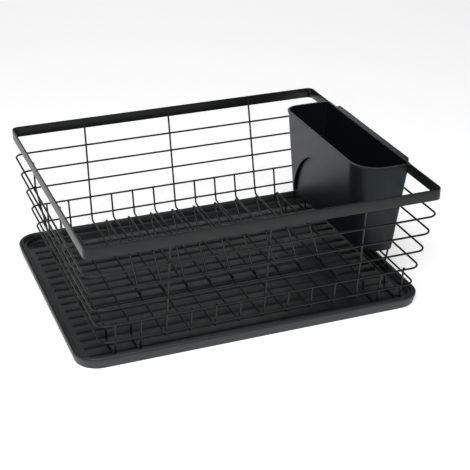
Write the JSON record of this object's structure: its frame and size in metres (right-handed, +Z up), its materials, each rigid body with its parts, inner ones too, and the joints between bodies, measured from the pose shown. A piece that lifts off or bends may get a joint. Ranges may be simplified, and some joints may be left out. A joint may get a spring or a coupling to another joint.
{
  "type": "dish drying rack",
  "caption": "Dish drying rack: a ribbed drip tray, a welded black wire basket with plate dividers, and a hook-on cutlery holder.",
  "frame": {"origin": "middle of the flat underside of the drip tray, where it rests on the worktop", "axes": "+X along the length, towards the cutlery holder; +Y from front to back; +Z up"},
  "size_m": [0.4333, 0.37, 0.1615],
  "materials": {
    "coated_steel": "satin black powder coat",
    "tray_plastic": "dark charcoal moulded plastic, slight gloss",
    "holder_plastic": "dark slate moulded plastic, fine matte grain"
  },
  "bodies": {
    "drip_tray": {"drip_tray": "tray_plastic"},
    "basket": {"rim_band": "coated_steel", "hoop_wire_1": "coated_steel", "hoop_wire_2": "coated_steel", "hoop_wire_3": "coated_steel", "hoop_wire_4": "coated_steel", "hoop_wire_5": "coated_steel", "rib_wire_01": "coated_steel", "rib_wire_02": "coated_steel", "rib_wire_03": "coated_steel", "rib_wire_04": "coated_steel", "rib_wire_05": "coated_steel", "rib_wire_06": "coated_steel", "rib_wire_07": "coated_steel", "rib_wire_08": "coated_steel", "rib_wire_09": "coated_steel", "rib_wire_10": "coated_steel", "rib_wire_11": "coated_steel", "rib_wire_12": "coated_steel", "rib_wire_13": "coated_steel", "runner_wire_front": "coated_steel", "runner_wire_back": "coated_steel", "divider_wire_1": "coated_steel", "divider_wire_2": "coated_steel", "divider_wire_3": "coated_steel", "divider_wire_4": "coated_steel", "divider_wire_5": "coated_steel", "divider_wire_6": "coated_steel", "divider_wire_7": "coated_steel", "divider_wire_8": "coated_steel", "divider_wire_9": "coated_steel"},
    "cutlery_holder": {"cutlery_holder": "holder_plastic"}
  },
  "joints": [
    {"name": "basket_lift", "type": "slide", "parent": "drip_tray", "child": "basket", "axis": [0, 0, 1], "range_m": [0, 0.06]},
    {"name": "holder_lift", "type": "slide", "parent": "basket", "child": "cutlery_holder", "axis": [0, 0, 1], "range_m": [0, 0.125]}
  ]
}
